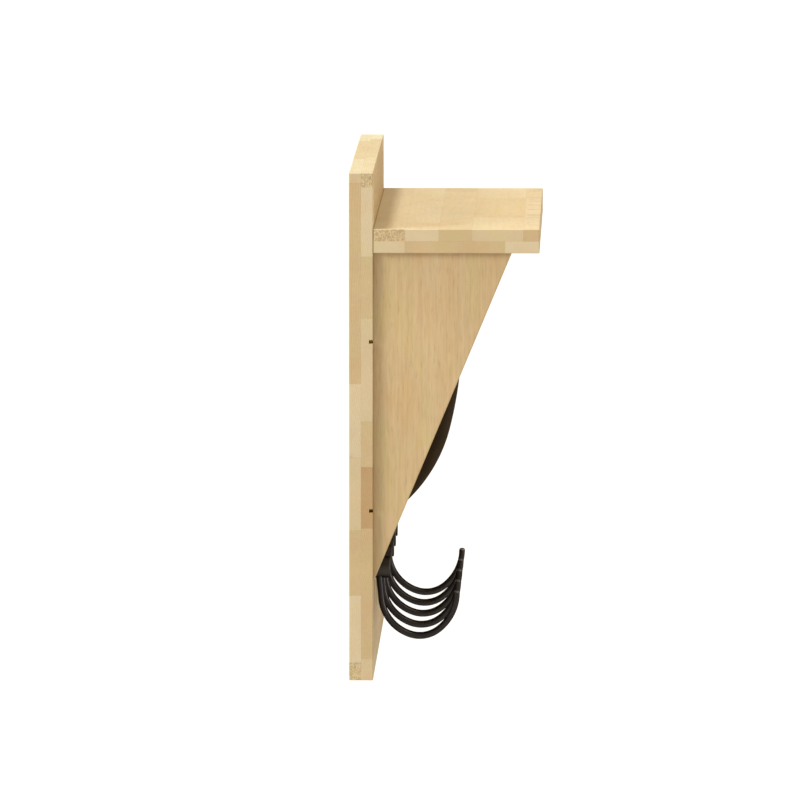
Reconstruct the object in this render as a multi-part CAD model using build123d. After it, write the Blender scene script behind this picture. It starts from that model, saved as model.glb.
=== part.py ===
from build123d import *
from math import cos, radians, sin, tan
import os

# Bicycle wall rack: a laminated back board with a shelf on two triangular side panels, one large
# rubber-sleeved hook for a bicycle wheel between the panels, and a row of U-shaped coat hooks below.
# Lengths are millimetres. X runs along the wall, -Y points into the room and +Z is up.
# The origin is the centre of the four wall-fixing holes, on the back face of the board.

# Wooden carcass
RACK_WIDTH = 450.0
BOARD_HEIGHT = 510.0
STOCK = 24.0                    # thickness of the laminated back board and shelf
SHELF_DEPTH = 166.0             # from the board's front face to the shelf's front edge
SHELF_DROP = 56.0               # from the board's top edge down to the shelf's top face
PANEL_THICKNESS = 18.0
PANEL_DEPTH = 138.5             # along the shelf's underside
PANEL_DROP = 332.0              # along the board's front face
PANEL_INSET = 6.0               # from the board's side edge to the panel's outer face
PANEL_TIP = 0.6                 # width of the flat that blunts the panel's lower point
GROOVE = 4.0                    # width and depth of the grooves across the board's front
GROOVE_HEIGHTS = (171.0, 341.0)  # of the grooves' middle lines
EASED_EDGE = 0.8
OVERCUT = 1.0                   # how far a cut runs past the face it opens

# Heights above the board's lower edge
SHELF_TOP = BOARD_HEIGHT - SHELF_DROP
SHELF_UNDERSIDE = SHELF_TOP - STOCK

# Wall-fixing holes
FIXING_SPACING_X = 300.0
FIXING_SPACING_Z = 260.0
FIXING_RADIUS = 3.0
FIXING_HEAD_RADIUS = 6.0
FIXING_SINK = 3.2               # depth of the countersink
FIXING_TOP = BOARD_HEIGHT - 28.0
FIXING_CENTRE = FIXING_TOP - FIXING_SPACING_Z / 2

# Bicycle hook: base plate, bent bar, rubber sleeve and end cap
PLATE_WIDTH = 44.0
PLATE_HEIGHT = 90.0
PLATE_THICKNESS = 4.0
PLATE_BOTTOM = 124.0
PLATE_CORNER = 6.0
PLATE_EDGE = 0.6
PLATE_SCREW_X = 13.0
PLATE_SCREW_HEIGHTS = (165.0, 203.0)
ARM_BAR_RADIUS = 5.0
ARM_SLEEVE_RADIUS = 8.0
ARM_BEND_CENTRE = (-77.2, 266.0)    # out from the board's front face, and height
ARM_BEND_RADIUS = 147.0
ARM_TOP_RADIUS = 392.0
ARM_ROOT_ANGLE = 30.0               # slope of the arm behind the plate's front face
ARM_SLEEVE_ANGLE = 37.0             # slope where the sleeve starts
ARM_CHANGE_ANGLE = 75.6             # slope where the bend opens out
ARM_END_ANGLE = 87.6
ARM_END_LENGTH = 14.0
CAP_RADIUS = 9.5
CAP_SKIRT = 12.0
CAP_CROWN = 6.5
CAP_CROWN_ROUNDING = 5.7
CAP_LIP = 0.7

# Coat hooks
HOOK_COUNT = 5
HOOK_PITCH = 82.0
ROD_THICKNESS = 6.1
ROD_WIDTH = 13.0                # along the wall
ROD_ROUNDING = 2.6              # radius of the bar's four long edges
ROD_TIP_ROUNDING = 2.4
ROD_BOTTOM = 34.1               # height of the underside of the bend
ROD_CENTRE = 45.5               # lowest point of the bend, out from the board's front face
ROD_BEND_RADIUS = 30.8
ROD_BACK = (42.3, 18.4, 5.5)    # radius of the bend's back, where it starts, and the leg's lean
ROD_FRONT = (47.8, 37.5, 1.7)   # the same for the bend's front, up to its tip
ROD_TIP_TOP = 82.9
BOSS_RADIUS = 11.0
BOSS_LENGTH = 15.9
BOSS_HEIGHT = 106.8             # height of the boss's axis
BOSS_EDGE = 1.0
ROD_SOCKET = 7.0                # how far the rod goes up into the boss

# Fasteners; a countersunk one is given as (shank radius, head radius, head depth)
WOOD_SCREW = (2.0, 4.0, 2.6)
PANEL_SCREW_LENGTH = 50.0
SHELF_SCREW_LENGTH = 60.0
HOOK_BOLT = (2.5, 4.6, 2.7)
HOOK_BOLT_LENGTH = 31.5
HOOK_BOLT_BEVEL = 0.6
HEXAGON_RADIUS = 1.75
HEXAGON_DEPTH = 2.0
PLATE_SCREW_RADIUS = 2.2
PLATE_SCREW_HEAD = 4.4
PLATE_SCREW_DOME = 2.4
PLATE_SCREW_ROUNDING = 1.68
PLATE_SCREW_LENGTH = 22.0
SCREW_TIP = 5.0                 # length of the pointed end
SCREW_POINT = 0.4               # radius at the very point
HEAD_RIM = 0.5                  # straight rim round a countersunk head
RECESS_WIDTH = 4.2
RECESS_BLADE = 0.9
RECESS_DEPTH = 1.7
RECESS_TAPER = 12.0
PANEL_SCREW_HEIGHTS = (220.0, 310.0, 400.0)
SHELF_SCREW_X = (-180.0, -60.0, 60.0, 180.0)
FIT = 0.05                      # radial room round every fastener and dowel

# Dowels
DOWEL_RADIUS = 4.0
DOWEL_BEVEL = 0.8
SHELF_DOWEL_X = (-120.0, 0.0, 120.0)
SHELF_DOWEL_LENGTH = 40.0
SHELF_DOWEL_IN_BOARD = 12.0
PANEL_DOWEL_LENGTH = 30.0
PANEL_DOWEL_OUT = (40.0, 108.0)     # out from the board's front face

HALF_WIDTH = RACK_WIDTH / 2
PANEL_X = HALF_WIDTH - PANEL_INSET - PANEL_THICKNESS / 2
SHELF_MIDDLE = SHELF_UNDERSIDE + STOCK / 2
HOOK_X = [HOOK_PITCH * (i - (HOOK_COUNT - 1) / 2) for i in range(HOOK_COUNT)]


def level(height):
    """Z of a height above the board's lower edge."""
    return height - FIXING_CENTRE


def out(distance):
    """Y of a distance out from the board's front face."""
    return -STOCK - distance


def side_plane(x):
    """Plane across the wall: its x is out from the board's front face and its y is height."""
    return Plane(origin=(x, out(0), level(0)), x_dir=(0, -1, 0), z_dir=(-1, 0, 0))


def into_room(x, y, height):
    """Plane whose normal points away from the wall."""
    return Plane(origin=(x, y, level(height)), x_dir=(1, 0, 0), z_dir=(0, -1, 0))


def into_wall(x, y, height):
    """Plane whose normal points towards the wall."""
    return Plane(origin=(x, y, level(height)), x_dir=(1, 0, 0), z_dir=(0, 1, 0))


def block(x_range, y_range, z_range):
    """Box between two corners."""
    ranges = (x_range, y_range, z_range)
    size = [high - low for low, high in ranges]
    middle = [(high + low) / 2 for low, high in ranges]
    return Pos(*middle) * Box(*size)


def turned(*outline):
    """Solid of revolution about Z from points given as (radius, z)."""
    profile = make_face(Plane.XZ * Polyline(*outline, close=True))
    return revolve(profile, axis=Axis.Z)


def union(solids):
    """Join a list of solids, or keep them apart where they don't touch."""
    return Part() + list(solids)


# ---------------------------------------------------------------- fasteners

def countersunk(size, length, point, room=0.0):
    """Countersunk screw from its head face at the origin along +Z."""
    shank, head, depth = size
    outline = [(0, 0), (head + room, 0), (head + room, HEAD_RIM), (shank + room, depth)]
    outline += [(shank + room, length - point), (SCREW_POINT + room, length + room), (0, length + room)]
    return turned(*outline)


def cross_recess():
    """Tapered cross that a screwdriver fits, cut down from the origin along +Z."""
    blade = extrude(Rectangle(RECESS_WIDTH, RECESS_BLADE), RECESS_DEPTH, taper=RECESS_TAPER)
    return blade + Rot(0, 0, 90) * blade


def wood_screw(length, room=0.0):
    """Countersunk wood screw, or with room the hole it needs."""
    body = countersunk(WOOD_SCREW, length, SCREW_TIP, room)
    return body if room else body - cross_recess()


def hook_bolt(room=0.0):
    """Countersunk machine screw with a hexagon socket, or with room the hole it needs."""
    body = countersunk(HOOK_BOLT, HOOK_BOLT_LENGTH, HOOK_BOLT_BEVEL, room)
    return body if room else body - extrude(RegularPolygon(HEXAGON_RADIUS, 6), HEXAGON_DEPTH)


def plate_screw(room=0.0):
    """Pan-head wood screw from its seat at the origin along +Z, or with room the hole it needs."""
    shank = PLATE_SCREW_RADIUS + room
    top = -PLATE_SCREW_DOME
    end = PLATE_SCREW_LENGTH + room
    below = [(shank, PLATE_SCREW_LENGTH - SCREW_TIP), (SCREW_POINT + room, end), (0, end)]
    if room:
        return turned((0, top), (shank, top), *below)
    body = turned((0, top), (PLATE_SCREW_HEAD, top), (PLATE_SCREW_HEAD, 0), (shank, 0), *below)
    body = fillet(body.edges().group_by(Axis.Z)[0], PLATE_SCREW_ROUNDING)
    return body - Pos(0, 0, top) * cross_recess()


def dowel(length, room=0.0):
    """Bevelled dowel centred on the origin along Z, or with room the hole it needs."""
    radius = DOWEL_RADIUS + room
    half = length / 2 + room
    bevel = DOWEL_BEVEL
    return turned((0, -half), (radius - bevel, -half), (radius, bevel - half),
                  (radius, half - bevel), (radius - bevel, half), (0, half))


def shelf_screws(room=0.0):
    screw = wood_screw(SHELF_SCREW_LENGTH, room)
    return union(into_room(x, 0, SHELF_MIDDLE) * screw for x in SHELF_SCREW_X)


def panel_screws(side, room=0.0):
    screw = wood_screw(PANEL_SCREW_LENGTH, room)
    return union(into_room(side * PANEL_X, 0, height) * screw for height in PANEL_SCREW_HEIGHTS)


def hook_bolts(room=0.0):
    bolt = hook_bolt(room)
    return union(into_room(x, 0, BOSS_HEIGHT) * bolt for x in HOOK_X)


def plate_screws(room=0.0):
    screw = plate_screw(room)
    places = [(x, h) for x in (-PLATE_SCREW_X, PLATE_SCREW_X) for h in PLATE_SCREW_HEIGHTS]
    return union(into_wall(x, out(PLATE_THICKNESS), h) * screw for x, h in places)


def shelf_dowels(room=0.0):
    pin = dowel(SHELF_DOWEL_LENGTH, room)
    middle = out(SHELF_DOWEL_LENGTH / 2 - SHELF_DOWEL_IN_BOARD)
    return union(into_room(x, middle, SHELF_MIDDLE) * pin for x in SHELF_DOWEL_X)


def panel_dowels(room=0.0):
    pin = dowel(PANEL_DOWEL_LENGTH, room)
    places = [(side * PANEL_X, distance) for side in (-1, 1) for distance in PANEL_DOWEL_OUT]
    return union(Pos(x, out(distance), level(SHELF_UNDERSIDE)) * pin for x, distance in places)


# ---------------------------------------------------------------- wooden carcass

def wall_fixing_holes():
    """Four through holes, countersunk on the room side, for the wall screws."""
    depth = STOCK + OVERCUT
    hole = turned((0, -OVERCUT), (FIXING_HEAD_RADIUS, -OVERCUT), (FIXING_HEAD_RADIUS, 0),
                  (FIXING_RADIUS, FIXING_SINK), (FIXING_RADIUS, depth), (0, depth))
    columns = (-FIXING_SPACING_X / 2, FIXING_SPACING_X / 2)
    rows = (FIXING_TOP - FIXING_SPACING_Z, FIXING_TOP)
    return union(into_wall(x, out(0), height) * hole for x in columns for height in rows)


def back_board():
    board = block((-HALF_WIDTH, HALF_WIDTH), (out(0), 0), (level(0), level(BOARD_HEIGHT)))
    board = fillet(board.edges(), EASED_EDGE)
    for height in GROOVE_HEIGHTS:
        reach = HALF_WIDTH + OVERCUT
        floor = out(0) + GROOVE
        edges = (level(height - GROOVE / 2), level(height + GROOVE / 2))
        board -= block((-reach, reach), (out(OVERCUT), floor), edges)
    board -= wall_fixing_holes()
    board -= shelf_screws(FIT)
    board -= panel_screws(-1, FIT)
    board -= panel_screws(1, FIT)
    board -= hook_bolts(FIT)
    board -= plate_screws(FIT)
    board -= shelf_dowels(FIT)
    return board


def shelf_board():
    faces = (level(SHELF_UNDERSIDE), level(SHELF_TOP))
    shelf = block((-HALF_WIDTH, HALF_WIDTH), (out(SHELF_DEPTH), out(0)), faces)
    exposed = shelf.edges() - shelf.faces().sort_by(Axis.Y)[-1].edges()
    shelf = fillet(exposed, EASED_EDGE)
    return shelf - shelf_screws(FIT) - shelf_dowels(FIT) - panel_dowels(FIT)


def side_panel(side):
    """Right triangle under one end of the shelf; side is -1 or 1."""
    slope = PANEL_DROP / PANEL_DEPTH
    point = SHELF_UNDERSIDE - PANEL_DROP
    outline = Polyline(
        (0, SHELF_UNDERSIDE),
        (PANEL_DEPTH, SHELF_UNDERSIDE),
        (PANEL_TIP, point + PANEL_TIP * slope),
        (0, point + PANEL_TIP * slope),
        close=True,
    )
    plane = side_plane(side * PANEL_X)
    panel = extrude(plane * make_face(outline), PANEL_THICKNESS / 2, both=True)
    sloping = panel.edges().sort_by(SortBy.LENGTH)[-2:]
    panel = chamfer(sloping, EASED_EDGE)
    return panel - panel_screws(side, FIT) - panel_dowels(FIT)


# ---------------------------------------------------------------- bicycle hook

def arm_path(start_angle):
    """Centre line of the bicycle hook from a slope on its lower bend to its end."""
    angle = radians(start_angle)
    start = (
        ARM_BEND_CENTRE[0] + ARM_BEND_RADIUS * sin(angle),
        ARM_BEND_CENTRE[1] - ARM_BEND_RADIUS * cos(angle),
    )
    turn = ARM_CHANGE_ANGLE - start_angle
    lower = JernArc(start, (cos(angle), sin(angle)), ARM_BEND_RADIUS, turn)
    upper = JernArc(lower @ 1, lower % 1, ARM_TOP_RADIUS, ARM_END_ANGLE - ARM_CHANGE_ANGLE)
    end = Line(upper @ 1, upper @ 1 + (upper % 1) * ARM_END_LENGTH)
    return Wire(side_plane(0) * (lower + upper + end))


def swept(path, section):
    """Bar of one section along a path in a plane across the wall; the section's x runs along the wall."""
    start = Plane(origin=path @ 0, x_dir=(1, 0, 0), z_dir=path % 0)
    return sweep(start * section, path=path)


def bike_hook_plate():
    plate = extrude(RectangleRounded(PLATE_WIDTH, PLATE_HEIGHT, PLATE_CORNER), PLATE_THICKNESS)
    plate = chamfer(plate.edges().group_by(Axis.Z)[-1], PLATE_EDGE)
    plate = into_room(0, out(0), PLATE_BOTTOM + PLATE_HEIGHT / 2) * plate
    return plate - plate_screws(FIT)


def bike_hook_bar():
    bar = swept(arm_path(ARM_ROOT_ANGLE), Circle(ARM_BAR_RADIUS))
    reach = 4 * ARM_BAR_RADIUS
    behind = block((-reach, reach), (out(PLATE_THICKNESS), 0), (level(PLATE_BOTTOM), level(SHELF_TOP)))
    return bar - behind


def bike_hook_sleeve():
    path = arm_path(ARM_SLEEVE_ANGLE)
    return swept(path, Circle(ARM_SLEEVE_RADIUS)) - swept(path, Circle(ARM_BAR_RADIUS))


def bike_hook_cap():
    """Rubber cap pushed over the sleeve's end, with a domed crown."""
    path = arm_path(ARM_SLEEVE_ANGLE)
    blank = turned((ARM_SLEEVE_RADIUS, -CAP_SKIRT), (CAP_RADIUS - CAP_LIP, -CAP_SKIRT),
                   (CAP_RADIUS, CAP_LIP - CAP_SKIRT), (CAP_RADIUS, CAP_CROWN), (0, CAP_CROWN), (0, 0),
                   (ARM_SLEEVE_RADIUS, 0))
    crown = blank.faces().sort_by(Axis.Z)[-1].edges()
    cap = fillet(crown, CAP_CROWN_ROUNDING)
    return Plane(origin=path @ 1, z_dir=path % 1) * cap


# ---------------------------------------------------------------- coat hooks

def bend_side(radius, start_angle, lean):
    """Reach and rise of one side of a coat hook's bend, from its lowest point to its straight end."""
    begin = radians(start_angle)
    finish = radians(90 - lean)
    reach = ROD_BEND_RADIUS * sin(begin) + radius * (sin(finish) - sin(begin))
    rise = ROD_BEND_RADIUS * (1 - cos(begin)) + radius * (cos(begin) - cos(finish))
    return reach, rise


def coat_hook_path():
    """Centre line of a coat hook from inside its boss, round the bend and up to its tip."""
    back_radius, back_start, back_lean = ROD_BACK
    front_radius, front_start, front_lean = ROD_FRONT
    reach, rise = bend_side(*ROD_BACK)
    foot = (ROD_CENTRE - reach, ROD_BOTTOM + ROD_THICKNESS / 2 + rise)
    socket_end = BOSS_HEIGHT - BOSS_RADIUS + ROD_SOCKET
    leg_top = (foot[0] - (socket_end - foot[1]) * tan(radians(back_lean)), socket_end)

    leg = Line(leg_top, foot)
    back = JernArc(leg @ 1, leg % 1, back_radius, 90 - back_lean - back_start)
    bottom = JernArc(back @ 1, back % 1, ROD_BEND_RADIUS, back_start + front_start)
    front = JernArc(bottom @ 1, bottom % 1, front_radius, 90 - front_lean - front_start)
    tip = Line(front @ 1, front @ 1 + (front % 1) * (ROD_TIP_TOP - (front @ 1).Y))
    return leg + back + bottom + front + tip


def coat_hook_rod(x):
    path = Wire(side_plane(x) * coat_hook_path())
    rod = swept(path, RectangleRounded(ROD_WIDTH, ROD_THICKNESS, ROD_ROUNDING))
    tip = rod.faces().sort_by_distance(path @ 1)[0]
    return fillet(tip.edges(), ROD_TIP_ROUNDING)


def coat_hook_boss(x, rod):
    boss = extrude(Circle(BOSS_RADIUS), BOSS_LENGTH)
    boss = fillet(boss.edges().group_by(Axis.Z)[-1], BOSS_EDGE)
    boss = into_room(x, out(0), BOSS_HEIGHT) * boss
    return boss - rod - hook_bolts(FIT)


# ---------------------------------------------------------------- assembly

def rack():
    """Every sub-part by its node name."""
    nodes = {
        "back_board": back_board(),
        "shelf_board": shelf_board(),
        "side_panel_left": side_panel(-1),
        "side_panel_right": side_panel(1),
        "shelf_dowels": shelf_dowels(),
        "side_panel_dowels": panel_dowels(),
        "shelf_screws": shelf_screws(),
        "side_panel_screws_left": panel_screws(-1),
        "side_panel_screws_right": panel_screws(1),
        "bike_hook_plate": bike_hook_plate(),
        "bike_hook_bar": bike_hook_bar(),
        "bike_hook_sleeve": bike_hook_sleeve(),
        "bike_hook_end_cap": bike_hook_cap(),
        "bike_hook_screws": plate_screws(),
        "coat_hook_bolts": hook_bolts(),
    }
    for number, x in enumerate(HOOK_X, start=1):
        rod = coat_hook_rod(x)
        nodes[f"coat_hook_rod_{number}"] = rod
        nodes[f"coat_hook_boss_{number}"] = coat_hook_boss(x, rod)
    return nodes


os.makedirs("parts", exist_ok=True)
for name, solid in rack().items():
    solid.label = name
    export_step(solid, f"parts/{name}.step")
    print(f"{name}: {len(solid.solids())} solids, {solid.volume:.0f} cubic millimetres")
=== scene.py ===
from math import cos, radians, sin

import bpy
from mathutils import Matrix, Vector


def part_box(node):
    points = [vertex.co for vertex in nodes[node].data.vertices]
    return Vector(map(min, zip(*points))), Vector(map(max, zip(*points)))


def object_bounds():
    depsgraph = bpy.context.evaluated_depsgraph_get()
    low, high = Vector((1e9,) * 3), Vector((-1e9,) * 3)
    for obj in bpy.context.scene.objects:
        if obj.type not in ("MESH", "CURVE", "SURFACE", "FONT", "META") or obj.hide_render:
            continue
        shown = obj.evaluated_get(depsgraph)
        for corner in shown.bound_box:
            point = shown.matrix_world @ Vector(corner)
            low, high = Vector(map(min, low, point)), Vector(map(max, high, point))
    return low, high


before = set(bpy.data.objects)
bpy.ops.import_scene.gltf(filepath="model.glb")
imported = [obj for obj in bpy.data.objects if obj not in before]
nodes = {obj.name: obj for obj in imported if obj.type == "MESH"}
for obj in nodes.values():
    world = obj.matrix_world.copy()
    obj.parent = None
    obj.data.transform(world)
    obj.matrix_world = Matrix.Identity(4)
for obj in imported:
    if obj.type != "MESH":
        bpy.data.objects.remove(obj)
cad_low, cad_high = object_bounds()

MM = 0.001
X, Y, Z = 0, 1, 2


# ---------------------------------------------------------------- node trees

# Socket numbers of the Mix node, whose inputs repeat their names for each data type
MIX_FACTOR = 0
MIX_NUMBERS = (2, 3)
MIX_COLORS = (6, 7)
MIX_COLOR_OUT = 2


class Shader:
    """One material and short calls that add nodes to it."""

    def __init__(self, name):
        self.material = bpy.data.materials.new(name)
        self.material.use_nodes = True
        self.tree = self.material.node_tree
        self.surface = self.tree.nodes["Principled BSDF"]

    def feed(self, socket, value):
        """Link a socket, or set its own number, vector or red, green and blue."""
        if isinstance(value, bpy.types.NodeSocket):
            self.tree.links.new(value, socket)
        elif socket.type == "RGBA":
            socket.default_value = (*value, 1.0)
        else:
            socket.default_value = value

    def feed_all(self, sockets, values):
        for socket, value in zip(sockets, values):
            self.feed(socket, value)

    def node(self, kind, **settings):
        made = self.tree.nodes.new(kind)
        for name, value in settings.items():
            setattr(made, name, value)
        return made

    def math(self, operation, a, b=0.0, c=0.0):
        made = self.node("ShaderNodeMath", operation=operation)
        self.feed_all(made.inputs, (a, b, c))
        return made.outputs[0]

    def apart(self, a, b):
        return self.math("ABSOLUTE", self.math("SUBTRACT", a, b))

    def scaled(self, value, low, high, to_low=0.0, to_high=1.0):
        """Value moved from one range to another, and held inside it."""
        made = self.node("ShaderNodeMapRange", clamp=True)
        self.feed_all(made.inputs, (value, low, high, to_low, to_high))
        return made.outputs[0]

    def axes(self):
        """X, Y and Z of the shaded point in the rack's own frame."""
        place = self.node("ShaderNodeTexCoord").outputs["Object"]
        split = self.node("ShaderNodeSeparateXYZ")
        self.feed(split.inputs[0], place)
        return list(split.outputs)

    def vector(self, x, y, z):
        made = self.node("ShaderNodeCombineXYZ")
        self.feed_all(made.inputs, (x, y, z))
        return made.outputs[0]

    def noise(self, place, scale, detail=2.0, rough=0.5, distortion=0.0):
        made = self.node("ShaderNodeTexNoise")
        self.feed(made.inputs["Vector"], place)
        self.feed(made.inputs["Scale"], scale)
        self.feed(made.inputs["Detail"], detail)
        self.feed(made.inputs["Roughness"], rough)
        self.feed(made.inputs["Distortion"], distortion)
        return made.outputs[0]

    def split(self, color):
        """Red, green and blue of a colour."""
        made = self.node("ShaderNodeSeparateColor")
        self.feed(made.inputs[0], color)
        return list(made.outputs)

    def random(self, x, y=0.0, z=0.0):
        """Three random numbers that change with the numbers given."""
        made = self.node("ShaderNodeTexWhiteNoise", noise_dimensions="3D")
        self.feed(made.inputs["Vector"], self.vector(x, y, z))
        return self.split(made.outputs["Color"])

    def ramp(self, value, stops, interpolation="LINEAR"):
        made = self.node("ShaderNodeValToRGB")
        band = made.color_ramp
        band.interpolation = interpolation
        while len(band.elements) < len(stops):
            band.elements.new(1.0)
        for element, (place, color) in zip(band.elements, stops):
            element.position = place
            element.color = (*color, 1.0)
        self.feed(made.inputs[0], value)
        return made.outputs[0]

    def mix(self, amount, a, b, blend="MIX"):
        made = self.node("ShaderNodeMix", data_type="RGBA", blend_type=blend)
        self.feed_all([made.inputs[number] for number in (MIX_FACTOR, *MIX_COLORS)], (amount, a, b))
        return made.outputs[MIX_COLOR_OUT]

    def mix_numbers(self, amount, a, b):
        made = self.node("ShaderNodeMix", data_type="FLOAT")
        self.feed_all([made.inputs[number] for number in (MIX_FACTOR, *MIX_NUMBERS)], (amount, a, b))
        return made.outputs[0]

    def times(self, color, factor):
        return self.mix(1.0, color, factor, "MULTIPLY")

    def tinted(self, color, amount, tint):
        """Colour moved by an amount towards itself times a tint."""
        return self.mix(amount, color, self.times(color, tint))

    def bump(self, height, strength, distance):
        made = self.node("ShaderNodeBump")
        self.feed(made.inputs["Height"], height)
        self.feed(made.inputs["Strength"], strength)
        self.feed(made.inputs["Distance"], distance)
        self.feed(self.surface.inputs["Normal"], made.outputs[0])

    def set(self, **values):
        for name, value in values.items():
            self.feed(self.surface.inputs[name.replace("_", " ")], value)


# ---------------------------------------------------------------- wood

# Lacquered softwood from a dark stave to a pale one, linear colour
DARK_STAVE = (0.410, 0.272, 0.136)
MID_STAVE = (0.490, 0.366, 0.206)
PALE_STAVE = (0.548, 0.446, 0.292)
KNOT_BROWN = (0.150, 0.070, 0.022)
RESIN_TINT = (1.0, 0.86, 0.66)
OLIVE_BLUSH = (0.97, 1.0, 0.90)
ORANGE_BLUSH = (1.0, 0.955, 0.90)
WOOD_ROUGHNESS = (0.52, 0.64)
WOOD_GLOSS = 0.04
WOOD_RELIEF = 0.15 * MM

JOINT_LINE = 0.3 * MM
FINGER = 3.8 * MM               # pitch of the fingers
FINGER_LENGTH = 9 * MM
FACE_SKIN = 0.4 * MM            # a point this near to a face counts as on it
ANYWHERE = 1.0                  # half side of a box that has no bound in that direction
REAR_SEED = 0.37                # sets the rear ply's random draws apart

# Noise scales along the grain and across it, per metre
BEND_SCALE = (1.6, 11)
FIBRE_SCALE = (14, 620)
DASH_SCALE = (45, 330)
PORE_SCALE = (75, 640)
CLOUD_SCALE = (9, 22)
BLUSH_SCALE = (20, 45)
NICK_SCALE = (170, 12)
SPECK_SCALE = 440.0             # the end grain's specks, alike in all directions

# What each feature adds to a plain stave's brightness of 1
RING_SHADE = -0.09
FIBRE_SHADE = 0.24
DASH_SHADE = 0.22
CLOUD_SHADE = 0.16
PORE_SHADE = -0.12
SPECK_SHADE = -0.27
EDDY_SHADE = -0.14
LINE_SHADE = -0.13
NICK_SHADE = -0.30

# Growth rings
RING_WIDTHS = (1.5 * MM, 2.6 * MM)
RING_TILT = 0.9
RING_BEND = 0.018
RING_SHARPNESS = 3.0

# Knots and the fibres round them
KNOT_BEND = 2 * MM
EDDY_WIDTH = 0.9 * MM
KNOT_DEPTH = 0.75

# Staves of each ply, from the low edge: (width in mm, tone from dark 0 to pale 1, coarse end grain)
BOARD_FRONT_PLY = (
    (20, 0.70, 0), (132, 0.42, 0), (62, 0.00, 0), (45, 0.50, 0),
    (105, 0.80, 0), (62, 0.54, 0), (70, 0.93, 0), (14, 0.60, 1),
)
BOARD_REAR_PLY = (
    (16, 0.58, 1), (69, 0.95, 0), (66, 0.47, 0), (74, 0.74, 0),
    (72, 0.92, 0), (202, 0.48, 0), (11, 0.72, 0),
)
SHELF_TOP_PLY = ((16, 0.40, 0), (51, 0.72, 0), (33, 0.50, 0), (34, 0.90, 0), (32, 0.52, 1))
SHELF_LOWER_PLY = ((34, 0.95, 0), (100, 0.46, 0), (32, 0.86, 0))
PANEL_PLY = ((38, 0.50, 0), (52, 0.56, 0), (49, 0.53, 0))


def ply_stops(staves):
    """Ramp stops for a ply: red is the tone, green marks coarse end grain, blue counts staves."""
    whole = sum(width for width, _, _ in staves)
    stops, reached = [], 0.0
    for index, (width, tone, coarse) in enumerate(staves):
        stops.append((reached / whole, (tone, coarse, index / len(staves))))
        reached += width
    return stops


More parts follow.
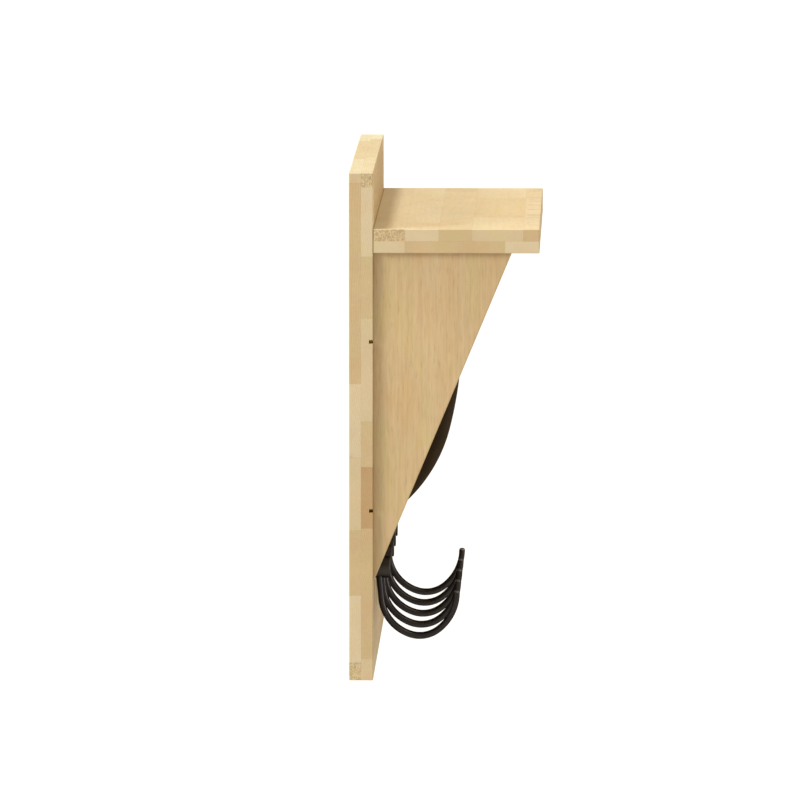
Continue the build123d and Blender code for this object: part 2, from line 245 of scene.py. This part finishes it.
class Wood(Shader):
    """Board of two plies. grain, across and through are axis numbers of the rack's frame."""

    def __init__(self, name, node, grain, across, through):
        super().__init__(name)
        self.low, self.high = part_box(node)
        self.grain, self.across, self.through = grain, across, through
        self.point = self.axes()
        self.along, self.wide, self.deep = (self.point[axis] for axis in (grain, across, through))
        self.middle = (self.low[through] + self.high[through]) / 2
        self.in_rear = self.math("GREATER_THAN", self.deep, self.middle)

    def grain_noise(self, scales, detail=2.0, rough=0.5):
        """Noise with one scale along the grain and another in the other two directions."""
        along, across = scales
        parts = [
            self.math("MULTIPLY", axis, along if number == self.grain else across)
            for number, axis in enumerate(self.point)
        ]
        return self.noise(self.vector(*parts), 1.0, detail, rough)

    def staves_at(self, front, rear, shift=0.0):
        """Tone, coarse end grain and count of the stave here, or a shift further across."""
        place = self.scaled(
            self.math("ADD", self.wide, shift), self.low[self.across], self.high[self.across])
        ahead = self.ramp(place, ply_stops(front), "CONSTANT")
        behind = self.ramp(place, ply_stops(rear), "CONSTANT")
        return self.split(self.mix(self.in_rear, ahead, behind))

    def end_face(self):
        """1 on the two faces that cut the grain."""
        low, high = self.low[self.grain], self.high[self.grain]
        return self.math(
            "GREATER_THAN", self.apart(self.along, (low + high) / 2), (high - low) / 2 - FACE_SKIN)

    def finger_pieces(self, count, piece):
        """Pieces passed since the low end, as a number that steps along zigzag joints."""
        own_start = self.random(count, self.math("MULTIPLY", self.in_rear, REAR_SEED))[0]
        zigzag = self.math("PINGPONG", self.math("ADD", self.wide, self.deep), FINGER / 2)
        from_end = self.math("SUBTRACT", self.along, self.low[self.grain])
        shifted = self.math("MULTIPLY_ADD", zigzag, FINGER_LENGTH / FINGER, from_end)
        return self.math("DIVIDE", self.math("MULTIPLY_ADD", own_start, 0.75 * piece, shifted), piece)

    def growth_rings(self, bend, own_tilt, own_spacing):
        """Dark late wood: nearly flat sheets, tilted and bent differently in each piece."""
        tilt = self.math("MULTIPLY", self.math("SUBTRACT", own_tilt, 0.5), RING_TILT)
        sheet = self.math(
            "MULTIPLY_ADD", self.wide, tilt, self.math("MULTIPLY_ADD", bend, RING_BEND, self.deep))
        spacing = self.scaled(own_spacing, 0, 1, *RING_WIDTHS)
        ring = self.math("FRACT", self.math("DIVIDE", self.math("ADD", sheet, 1.0), spacing))
        return self.math(
            "MULTIPLY", self.math("POWER", ring, RING_SHARPNESS), self.scaled(ring, 0.93, 1.0, 1.0, 0.0))

    def knot_marks(self, knots, bend):
        """Brown heart of the knots, and the fibres that bend round them."""
        heart, eddies = 0.0, 0.0
        for place, radius in knots:
            reach = self.node("ShaderNodeVectorMath", operation="DISTANCE")
            self.feed_all(reach.inputs, (self.vector(*self.point), place))
            away = self.math("MULTIPLY_ADD", bend, KNOT_BEND, reach.outputs["Value"])
            heart = self.math("MAXIMUM", heart, self.scaled(away, radius, 1.9 * radius, 1, 0))
            eddy = self.scaled(self.math("PINGPONG", away, EDDY_WIDTH), 0, EDDY_WIDTH)
            near = self.scaled(away, 1.6 * radius, 6 * radius, 1, 0)
            eddies = self.math("MAXIMUM", eddies, self.math("MULTIPLY", eddy, near))
        return heart, eddies

    def open_fingers(self, reach, at_end):
        """Short dark lines where finger joints open on the top face, in the stave along the low edge."""
        nick = self.scaled(self.grain_noise(NICK_SCALE, 1.0), 0.60, 0.66)
        nick = self.math("MULTIPLY", nick, self.math("LESS_THAN", self.wide, reach))
        on_top = self.math("GREATER_THAN", self.deep, self.high[self.through] - FACE_SKIN)
        return self.math("MULTIPLY", nick, self.math("GREATER_THAN", on_top, at_end))

    def boxed_tints(self, color, tints):
        """Painted light in grooves and on faces, glue lines with painted contact shade, and own tones: a
        tint inside each box, given by its middle and half sides.
        """
        for middle, half, tint in tints:
            inside = 1.0
            for axis, place, reach in zip(self.point, middle, half):
                inside = self.math("MULTIPLY", inside, self.math("COMPARE", axis, place, reach))
            color = self.tinted(color, inside, tint)
        return color


def laminated_wood(name, node, grain, across, through, front, rear, piece=0.21, knots=(), variety=1.0,
                   own_end=None, blotch=0.7, figure=1.0, tints=(), fingers=None):
    """Finger-jointed staves. The front ply is on the low side of through, the rear ply on its high side.

    piece is the length of a stave's pieces, variety the spread of their tones, figure the strength of
    the fibres and blotch that of the slow tints. The plies' own tones show in each stave's first piece,
    or over a length of own_end. Finger joints stay open up to fingers.
    """
    m = Wood(name, node, grain, across, through)
    tone, coarse, count = m.staves_at(front, rear)
    next_count = m.staves_at(front, rear, JOINT_LINE)[2]
    stave_line = m.math("GREATER_THAN", m.apart(count, next_count), 0.01)
    ply_line = m.math("LESS_THAN", m.apart(m.deep, m.middle), JOINT_LINE / 2)
    at_end = m.end_face()

    pieces = m.finger_pieces(count, piece)
    finger_line = m.math("LESS_THAN", m.math("FRACT", pieces), JOINT_LINE / piece)
    own_number = m.math("ADD", m.math("FLOOR", pieces), 0.5)
    own_tone, own_tilt, own_spacing = m.random(count, own_number, m.in_rear)
    if own_end is None:
        near_end = m.math("LESS_THAN", pieces, 1.0)
    else:
        near_end = m.math("LESS_THAN", m.math("SUBTRACT", m.along, m.low[grain]), own_end)
    drawn = m.scaled(own_tone, 0, 1, 0.5 - 0.28 * variety, 0.72 + 0.24 * variety)
    tone = m.mix_numbers(near_end, drawn, tone)

    # Rings, long fibres, short open pores and slow clouds of colour
    bend = m.grain_noise(BEND_SCALE, 2.0, 0.45)
    late = m.growth_rings(bend, own_tilt, own_spacing)
    fibre = m.grain_noise(FIBRE_SCALE, 3.0, 0.6)
    dash = m.grain_noise(DASH_SCALE)
    pore = m.scaled(m.grain_noise(PORE_SCALE, 1.0), 0.58, 0.76)
    pore = m.math("MULTIPLY", pore, m.math("SUBTRACT", 1.0, at_end))
    cloud = m.grain_noise(CLOUD_SCALE)
    blush = m.grain_noise(BLUSH_SCALE)
    heart, eddies = m.knot_marks(knots, bend)
    speck = m.scaled(m.noise(m.vector(*m.point), SPECK_SCALE, 2.0, 0.6, 1.2), 0.44, 0.58, -0.35, 1.0)
    speck = m.math("MULTIPLY", speck, m.math("MULTIPLY", coarse, at_end))

    # Brightness
    streak = m.math("ADD", m.math("MULTIPLY", fibre, FIBRE_SHADE), m.math("MULTIPLY", dash, DASH_SHADE))
    streak = m.math("SUBTRACT", streak, (FIBRE_SHADE + DASH_SHADE) / 2)
    shade = m.math("MULTIPLY_ADD", late, RING_SHADE * variety, 1.0)
    shade = m.math("MULTIPLY_ADD", streak, m.scaled(at_end, 0, 1, figure, 0.5 * figure), shade)
    shade = m.math("MULTIPLY_ADD", m.math("SUBTRACT", cloud, 0.5), CLOUD_SHADE, shade)
    shade = m.math("MULTIPLY_ADD", pore, PORE_SHADE * figure, shade)
    shade = m.math("MULTIPLY_ADD", speck, SPECK_SHADE, shade)
    shade = m.math("MULTIPLY_ADD", eddies, EDDY_SHADE, shade)
    lines = m.math("MAXIMUM", m.math("MULTIPLY", ply_line, 0.8), m.math("MAXIMUM", stave_line, finger_line))
    shade = m.math("MULTIPLY_ADD", lines, LINE_SHADE, shade)
    if fingers is not None:
        shade = m.math("MULTIPLY_ADD", m.open_fingers(fingers, at_end), NICK_SHADE, shade)

    # Colour
    color = m.ramp(tone, ((0.0, DARK_STAVE), (0.5, MID_STAVE), (1.0, PALE_STAVE)))
    color = m.times(color, shade)
    resin = m.scaled(m.math("ADD", late, m.math("MULTIPLY", pore, 0.5)), 0.0, 1.2, 0.0, 0.30)
    color = m.tinted(color, resin, RESIN_TINT)
    color = m.tinted(color, m.scaled(blush, 0.50, 0.66, 0, blotch), OLIVE_BLUSH)
    color = m.tinted(color, m.scaled(blush, 0.50, 0.34, 0, blotch), ORANGE_BLUSH)
    color = m.mix(m.math("MULTIPLY", heart, KNOT_DEPTH), color, KNOT_BROWN)
    color = m.boxed_tints(color, tints)

    relief = m.math("MULTIPLY_ADD", late, 0.35, m.math("MULTIPLY_ADD", pore, -0.6, fibre))
    relief = m.math("MULTIPLY_ADD", lines, -0.8, relief)
    roughness = m.scaled(fibre, 0.3, 0.7, *WOOD_ROUGHNESS)
    m.set(Base_Color=color, Roughness=roughness, Specular_IOR_Level=WOOD_GLOSS)
    m.bump(relief, 0.25, WOOD_RELIEF)
    return m.material


def dowel_wood():
    """Plain beech with short flecks along the pin."""
    m = Shader("dowel_beech")
    x, y, z = m.axes()
    flecks = m.noise(m.vector(x, y, z), 900.0)
    grain = m.noise(m.vector(x, m.math("MULTIPLY", y, 0.08), z), 700.0)
    color = m.mix(m.scaled(flecks, 0.55, 0.65), (0.52, 0.35, 0.19), (0.40, 0.24, 0.12))
    m.set(Base_Color=color, Roughness=m.scaled(grain, 0.3, 0.7, 0.55, 0.70))
    m.bump(grain, 0.3, 0.1 * MM)
    return m.material


# ---------------------------------------------------------------- metal and rubber

COAT_HOOK_BLACK = (0.0290, 0.0255, 0.0245)
BOSS_BLACK = (0.042, 0.038, 0.033)
PLATE_BLACK = (0.0250, 0.0215, 0.0200)
COAT_EDGE_TINT = (0.02, 0.02, 0.02)
RUBBED = 1.4                    # brightness of rubbed patches, against the coat
# Painted highlight: a pale grey band along the coat hooks' upper rim
TIP_HIGHLIGHT_GREY = (0.19, 0.20, 0.21)
TIP_HIGHLIGHT_BAND = (1.3 * MM, 0.6 * MM)     # depths under the tips' top where the painted highlight starts and is full


def powder_coat(name, base, roughness, peel, rim=None):
    """Satin black coat over steel with a fine orange peel, dark right up to its outline; with rim, a painted
    highlight along the tips' upper rim.
    """
    m = Shader(name)
    axes = m.axes()
    place = m.vector(*axes)
    skin = m.noise(place, 900.0, 2.0, 0.6)
    rub = m.noise(place, 45.0, 3.0, 0.6)
    color = m.mix(m.scaled(rub, 0.35, 0.75), base, [RUBBED * part for part in base])
    if rim is not None:
        # Painted highlight along the upper rim of the tips, where light catches their rounded tops
        band = m.scaled(axes[Z], *[rim.z - depth for depth in TIP_HIGHLIGHT_BAND])
        band = m.math("MULTIPLY", band, m.math("LESS_THAN", axes[Y], rim.y))
        color = m.mix(band, color, TIP_HIGHLIGHT_GREY)
    m.set(Base_Color=color, Metallic=1.0, Specular_Tint=COAT_EDGE_TINT)
    m.set(Roughness=m.scaled(rub, 0.3, 0.7, roughness - 0.06, roughness + 0.06))
    m.bump(skin, peel, 0.08 * MM)
    return m.material


def moulded_rubber():
    """Matt black sleeve rubber with a fine grain."""
    m = Shader("black_sleeve_rubber")
    place = m.vector(*m.axes())
    grain = m.noise(place, 1400.0, 3.0, 0.7)
    scuff = m.noise(place, 30.0, 4.0, 0.65)
    color = m.mix(m.scaled(scuff, 0.45, 0.75), (0.034, 0.0215, 0.0095), (0.046, 0.032, 0.018))
    m.set(Base_Color=color, Specular_IOR_Level=0.04, Roughness=m.scaled(scuff, 0.3, 0.7, 0.58, 0.72))
    m.bump(grain, 0.35, 0.12 * MM)
    return m.material


def zinc_plate():
    """Bright zinc on the screws from the back, slightly blotched."""
    m = Shader("zinc_plate")
    place = m.vector(*m.axes())
    blotch = m.noise(place, 260.0, 3.0, 0.6)
    color = m.mix(blotch, (0.60, 0.60, 0.57), (0.78, 0.76, 0.68))
    m.set(Base_Color=color, Metallic=1.0, Roughness=m.scaled(blotch, 0.3, 0.7, 0.28, 0.42))
    m.bump(blotch, 0.1, 0.05 * MM)
    return m.material


# ---------------------------------------------------------------- the pieces' materials

# Tints of the wood's faces, grooves and seams: painted light in the grooves, above the shelf and on the top
# faces, glue lines with painted contact shade at the seams, and the panels' own tone
# painted light: the inside of the grooves lightened, as if lit by light bouncing in
GROOVE_PAINTED_LIGHT = (1.5, 1.5, 1.3)
# painted light: the board's front brightened just above the shelf, as if lit by the shelf's bounce
ABOVE_SHELF_PAINTED_LIGHT = (1.15, 1.14, 1.10)
# painted light: the board's top face made paler, as lit from above
BOARD_TOP_PAINTED_LIGHT = (0.98, 1.08, 1.18)
# painted light: the shelf's top face made paler, as lit from above
SHELF_TOP_PAINTED_LIGHT = (0.98, 1.02, 1.06)
# glue line and painted contact shade where the shelf meets the board
SHELF_SEAM_GLUE_AND_SHADE = (0.66, 0.56, 0.46)
PANEL_TINT = (1.0, 0.965, 0.93)
# glue line and painted contact shade where the panels meet the board
PANEL_SEAM_GLUE_AND_SHADE = (0.92, 0.86, 0.71)

GROOVE_HEIGHTS = (171 * MM, 341 * MM)   # above the board's foot
GROOVE_MIDDLE = 1.5 * MM                # behind the board's front
GROOVE_HALF = Vector((224.5 * MM, 2.8 * MM, 2.2 * MM))
ABOVE_SHELF_REACH = 56 * MM
SHELF_SEAM_REACH = 1.0 * MM
PANEL_SEAM_REACH = 0.9 * MM
SHELF_END_SKIN = 0.6 * MM               # where the shelf's end face shows its plies
FIRST_STAVE = 14 * MM                   # part of the shelf's front stave with open finger joints
TIP_LENGTH = 25 * MM                    # of a coat hook, behind its front
TIP_HEIGHT = 82.9 * MM                  # of its top, above the board's foot


def dress(names, material):
    """Give CAD nodes their material."""
    for name in names:
        mesh = nodes[name].data
        mesh.materials.clear()
        mesh.materials.append(material)


board_low, board_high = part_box("back_board")
board_middle = (board_low + board_high) / 2
top_face = Vector((ANYWHERE, ANYWHERE, FACE_SKIN))

# Right of the low corner, depth, height above it, radius: one on the end, then two in front, two behind
board_knots = [
    (Vector((board_low.x + right * MM, depth, board_low.z + height * MM)), radius * MM)
    for right, depth, height, radius in (
        (0, board_high.y - 2.0 * MM, 226, 1.0),
        (96, board_low.y, 298, 3.2),
        (318, board_low.y, 42, 2.4),
        (262, board_high.y, 188, 3.6),
        (121, board_high.y, 402, 2.6),
    )
]
# Painted light inside the board's two grooves
board_tints = [
    (Vector((board_middle.x, board_low.y + GROOVE_MIDDLE, board_low.z + height)), GROOVE_HALF, GROOVE_PAINTED_LIGHT)
    for height in GROOVE_HEIGHTS
]
board_tints += [
    # Painted light on the board's front just above the shelf
    (Vector((board_middle.x, board_low.y, board_high.z)),
     Vector((ANYWHERE, FACE_SKIN, ABOVE_SHELF_REACH)), ABOVE_SHELF_PAINTED_LIGHT),
    # Painted light on the board's top face
    (Vector((board_middle.x, board_middle.y, board_high.z)), top_face, BOARD_TOP_PAINTED_LIGHT),
]
dress(["back_board"], laminated_wood(
    "back_board_wood", "back_board", X, Z, Y, BOARD_FRONT_PLY, BOARD_REAR_PLY, knots=board_knots,
    tints=board_tints))

shelf_low, shelf_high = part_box("shelf_board")
seam = Vector((0, board_low.y, 0))
shelf_tints = (
    # Painted light on the shelf's top face
    (Vector((shelf_low.x, shelf_low.y, shelf_high.z)), top_face, SHELF_TOP_PAINTED_LIGHT),
    # Glue line with painted contact shade where the shelf meets the board
    (seam, Vector((ANYWHERE, SHELF_SEAM_REACH, ANYWHERE)), SHELF_SEAM_GLUE_AND_SHADE),
)
dress(["shelf_board"], laminated_wood(
    "shelf_board_wood", "shelf_board", X, Y, Z, SHELF_LOWER_PLY, SHELF_TOP_PLY, variety=0.15,
    own_end=SHELF_END_SKIN, figure=0.55, tints=shelf_tints, fingers=shelf_low.y + FIRST_STAVE))

panel_tints = (
    (Vector((0, 0, 0)), Vector((ANYWHERE, ANYWHERE, ANYWHERE)), PANEL_TINT),
    # Glue line with painted contact shade where the panel meets the board
    (seam, Vector((ANYWHERE, PANEL_SEAM_REACH, ANYWHERE)), PANEL_SEAM_GLUE_AND_SHADE),
)
for node in ("side_panel_left", "side_panel_right"):
    dress([node], laminated_wood(
        f"{node}_wood", node, Z, Y, X, PANEL_PLY, PANEL_PLY, piece=0.9, variety=0.2, blotch=0.9,
        tints=panel_tints))
dress(["shelf_dowels", "side_panel_dowels"], dowel_wood())

# Top of the coat hook tips, where a painted highlight runs along the rim
rod_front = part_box("coat_hook_rod_1")[0].y
tip = Vector((0, rod_front + TIP_LENGTH, board_low.z + TIP_HEIGHT))
dress([node for node in nodes if node.startswith("coat_hook_rod")],
      powder_coat("coat_hook_powder_coat", COAT_HOOK_BLACK, 0.40, 0.12, tip))
dress([node for node in nodes if node.startswith("coat_hook_boss")],
      powder_coat("coat_hook_boss_powder_coat", BOSS_BLACK, 0.46, 0.15))
dress(["bike_hook_plate", "bike_hook_bar", "bike_hook_screws"],
      powder_coat("plate_powder_coat", PLATE_BLACK, 0.48, 0.22))
dress(["bike_hook_sleeve", "bike_hook_end_cap"], moulded_rubber())
dress(["shelf_screws", "side_panel_screws_left", "side_panel_screws_right", "coat_hook_bolts"], zinc_plate())


# ---------------------------------------------------------------- floor, light and camera

FLOOR_DROP = 0.75               # below the wall-hung rack
FLOOR_HALF = 60.0
FLOOR_GREY = (0.58, 0.58, 0.58)
SKY_STRENGTH = 0.65
WHITE = (1.0, 1.0, 1.0)
WARM = (1.0, 0.78, 0.38)

# Camera angles in degrees, distance in metres, lens and sensor in millimetres
CAMERA_AZIMUTH = 271.281
CAMERA_ELEVATION = 6.539
CAMERA_DISTANCE = 9.6305
CAMERA_AIM = Vector((0, 49 * MM, 2 * MM))   # from the rack's middle
CAMERA_LENS = 423.99
CAMERA_SENSOR = 36.0
CAMERA_REACH = 400.0


def floor():
    """Plain pale floor well below the rack."""
    mesh = bpy.data.meshes.new("floor")
    z = cad_low.z - FLOOR_DROP
    corners = [(x * FLOOR_HALF, y * FLOOR_HALF, z) for x, y in ((-1, -1), (1, -1), (1, 1), (-1, 1))]
    mesh.from_pydata(corners, [], [(0, 1, 2, 3)])
    ground = bpy.data.objects.new("floor", mesh)
    bpy.context.collection.objects.link(ground)
    m = Shader("pale_floor")
    m.set(Base_Color=FLOOR_GREY, Roughness=0.9, Specular_IOR_Level=0.0)
    mesh.materials.append(m.material)


def sky():
    world = bpy.data.worlds.new("studio")
    bpy.context.scene.world = world
    world.use_nodes = True
    background = world.node_tree.nodes["Background"]
    background.inputs["Color"].default_value = (*WHITE, 1.0)
    background.inputs["Strength"].default_value = SKY_STRENGTH


def sun(name, towards, strength, spread, tint=WHITE):
    """Soft distant lamp that stands in the direction given. Its spread is in degrees."""
    lamp = bpy.data.lights.new(name, "SUN")
    lamp.energy = strength
    lamp.color = tint
    lamp.angle = radians(spread)
    holder = bpy.data.objects.new(name, lamp)
    bpy.context.collection.objects.link(holder)
    holder.rotation_mode = "QUATERNION"
    holder.rotation_quaternion = Vector(towards).to_track_quat("Z", "Y")
    return holder


def camera():
    view = bpy.data.cameras.new("camera")
    view.lens = CAMERA_LENS
    view.sensor_width = CAMERA_SENSOR
    view.clip_end = CAMERA_REACH
    holder = bpy.data.objects.new("camera", view)
    bpy.context.collection.objects.link(holder)
    turn, rise = radians(CAMERA_AZIMUTH), radians(CAMERA_ELEVATION)
    back = Vector((sin(turn) * cos(rise), -cos(turn) * cos(rise), sin(rise)))
    holder.rotation_mode = "QUATERNION"
    holder.location = (cad_low + cad_high) / 2 + CAMERA_AIM + back * CAMERA_DISTANCE
    holder.rotation_quaternion = (-back).to_track_quat("-Z", "Y")
    bpy.context.scene.camera = holder


floor()
sky()
sun("key_above_behind", (-0.05, 0.32, 1.0), 2.3, 13)
sun("side_behind", (-0.42, 0.85, 0.35), 2.65, 22)
sun("warm_above_front", (-0.10, -0.45, 0.90), 1.1, 25, WARM)
glint = sun("glint_front", (-0.22, -0.96, 0.12), 1.6, 12)
glint.visible_diffuse = False   # it only makes glints
camera()
bpy.context.scene.view_settings.view_transform = "Standard"
